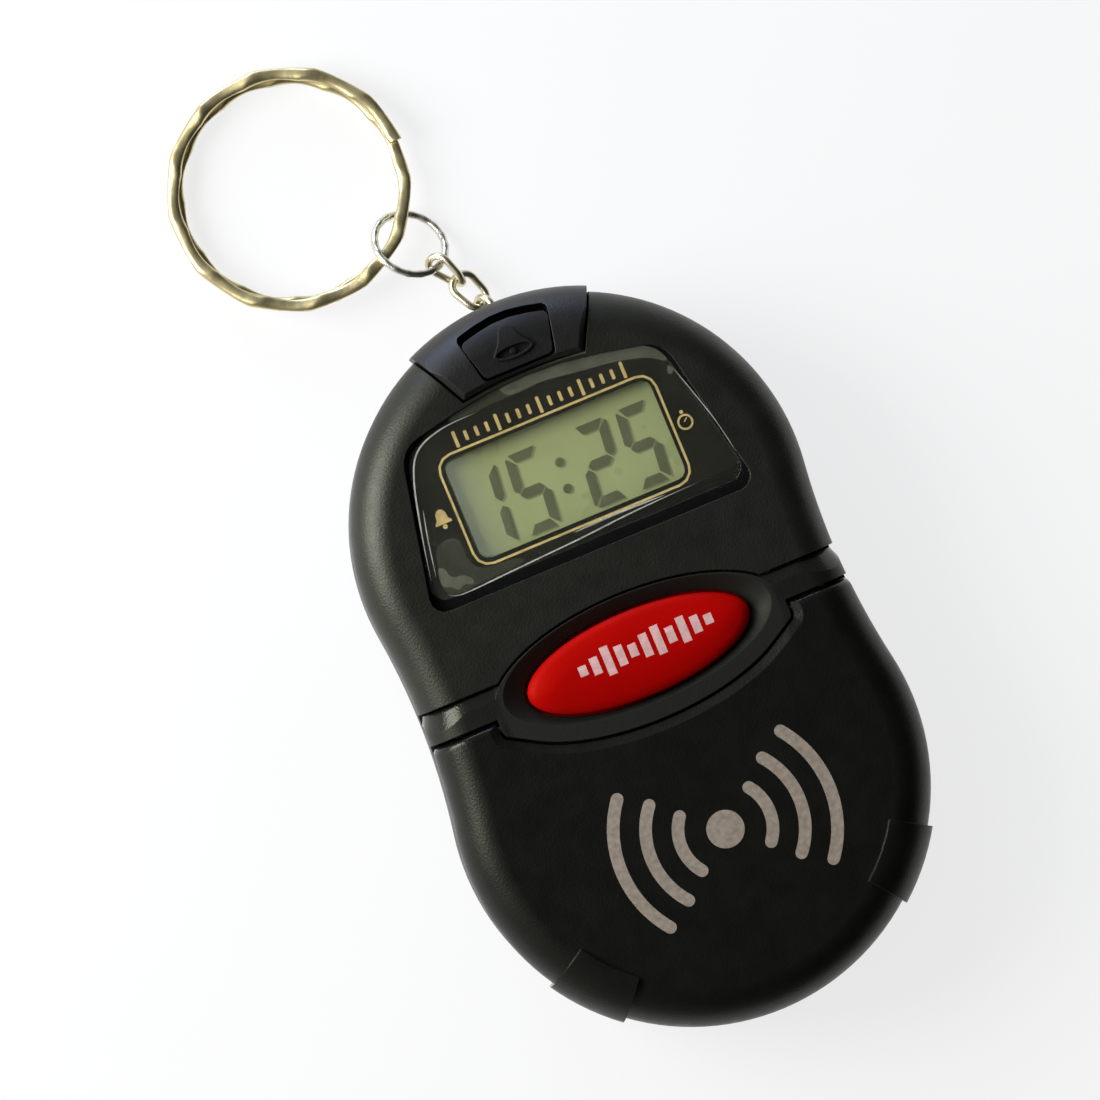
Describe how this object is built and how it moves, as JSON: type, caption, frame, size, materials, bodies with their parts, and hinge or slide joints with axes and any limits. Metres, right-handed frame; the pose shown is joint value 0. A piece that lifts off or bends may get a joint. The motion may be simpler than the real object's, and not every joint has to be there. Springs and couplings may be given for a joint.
{
  "type": "talking_keychain_clock",
  "caption": "Talking keychain clock: two-lobed black case with display window, red talk button, alarm key, flip cover over setting keys, and a split key ring on a short chain",
  "frame": {"origin": "On the flat back face, on the case's middle line, level with the lower edge of the waist band", "axes": "+X to the right seen from the display side, +Y towards the chain and key ring, +Z out of the display"},
  "size_m": [0.0498, 0.1071, 0.0169],
  "materials": {
    "black_plastic": "satin black moulded ABS",
    "red_plastic": "glossy red moulded ABS",
    "clear_plastic": "clear acrylic window, masked in black round the display",
    "display_glass": "liquid crystal display glass",
    "white_plastic": "white moulded plastic",
    "board_green": "green solder mask on glass fibre laminate",
    "black_epoxy": "black potting epoxy and component sleeves",
    "grey_rubber": "grey silicone rubber",
    "black_foam": "black foam",
    "cone_film": "translucent amber film",
    "steel": "plated steel",
    "ferrite": "dark grey sintered magnet",
    "nickel_strip": "nickel-plated spring strip",
    "pale_brass": "bright pale brass plating"
  },
  "bodies": {
    "case": {"rear_shell": "black_plastic", "front_shell": "black_plastic", "centre_frame": "black_plastic", "top_cap": "black_plastic", "lens": "clear_plastic", "battery_door": "black_plastic", "battery_door_screw": "steel", "case_screw_1": "steel", "case_screw_2": "steel", "case_screw_3": "steel", "case_screw_4": "steel", "chain_pin": "steel", "main_board": "board_green", "chip_blob": "black_epoxy", "crystal": "steel", "capacitor": "black_epoxy", "alarm_switch": "black_epoxy", "key_mat": "grey_rubber", "lcd_glass": "display_glass", "lcd_holder": "white_plastic", "lcd_reflector": "white_plastic", "zebra_strip_lower": "grey_rubber", "zebra_strip_upper": "grey_rubber", "speaker_basket": "steel", "speaker_cone": "cone_film", "speaker_gasket": "black_foam", "speaker_magnet": "ferrite", "button_cell_1": "steel", "button_cell_2": "steel", "positive_contact": "nickel_strip", "negative_contact": "nickel_strip", "bridge_contact": "nickel_strip"},
    "flip_cover": {"flip_cover": "black_plastic"},
    "talk_button": {"talk_button": "red_plastic"},
    "bell_key": {"bell_key": "black_plastic"},
    "set_key_1": {"set_key_1": "grey_rubber"},
    "set_key_2": {"set_key_2": "grey_rubber"},
    "set_key_3": {"set_key_3": "grey_rubber"},
    "set_key_4": {"set_key_4": "grey_rubber"},
    "chain_link_1": {"chain_link_1": "pale_brass"},
    "chain_link_2": {"chain_link_2": "pale_brass"},
    "chain_link_3": {"chain_link_3": "pale_brass"},
    "small_ring": {"small_ring": "pale_brass"},
    "key_ring": {"key_ring": "pale_brass"}
  },
  "joints": [
    {"name": "flip_cover_hinge", "type": "hinge", "parent": "case", "child": "flip_cover", "pos_m": [0, -0.001, 0.0152], "axis": [-1, 0, 0], "range_deg": [0, 90]},
    {"name": "talk_button_press", "type": "slide", "parent": "case", "child": "talk_button", "axis": [0, 0, -1], "range_m": [0, 0.0006], "stiffness_N_per_m": 1200, "springref_m": -0.0002, "deforming": ["key_mat"]},
    {"name": "bell_key_press", "type": "hinge", "parent": "case", "child": "bell_key", "pos_m": [0, 0.0313, 0.0148], "axis": [-1, 0, 0], "range_deg": [0, 3], "stiffness_Nm_per_rad": 0.006, "springref_deg": -1.15},
    {"name": "set_key_1_press", "type": "slide", "parent": "case", "child": "set_key_1", "axis": [0, 0, -1], "range_m": [0, 0.0006], "stiffness_N_per_m": 800, "springref_m": -0.0002, "deforming": ["key_mat"]},
    {"name": "set_key_2_press", "type": "slide", "parent": "case", "child": "set_key_2", "axis": [0, 0, -1], "range_m": [0, 0.0006], "stiffness_N_per_m": 800, "springref_m": -0.0002, "deforming": ["key_mat"]},
    {"name": "set_key_3_press", "type": "slide", "parent": "case", "child": "set_key_3", "axis": [0, 0, -1], "range_m": [0, 0.0006], "stiffness_N_per_m": 800, "springref_m": -0.0002, "deforming": ["key_mat"]},
    {"name": "set_key_4_press", "type": "slide", "parent": "case", "child": "set_key_4", "axis": [0, 0, -1], "range_m": [0, 0.0006], "stiffness_N_per_m": 800, "springref_m": -0.0002, "deforming": ["key_mat"]},
    {"name": "chain_link_1_swing", "type": "hinge", "parent": "case", "child": "chain_link_1", "pos_m": [0.0009, 0.0369, 0.0027], "axis": [1, 0, 0], "range_deg": [-12, 12]},
    {"name": "chain_link_2_swing", "type": "hinge", "parent": "chain_link_1", "child": "chain_link_2", "pos_m": [-0.00031, 0.03965, 0.0027], "axis": [0.24, 0.097, 0.9659], "range_deg": [-15, 15]},
    {"name": "chain_link_3_swing", "type": "hinge", "parent": "chain_link_2", "child": "chain_link_3", "pos_m": [-0.00163, 0.04252, 0.00284], "axis": [0.8644, 0.3967, -0.3088], "range_deg": [-12, 12]},
    {"name": "small_ring_swing", "type": "hinge", "parent": "chain_link_3", "child": "small_ring", "pos_m": [-0.00327, 0.04518, 0.00337], "axis": [0.4933, 0.1456, 0.8576], "range_deg": [-15, 15]},
    {"name": "key_ring_swing", "type": "hinge", "parent": "small_ring", "child": "key_ring", "pos_m": [-0.00713, 0.0501, 0.00285], "axis": [0.606, 0.566, -0.559], "range_deg": [-5, 10]}
  ]
}
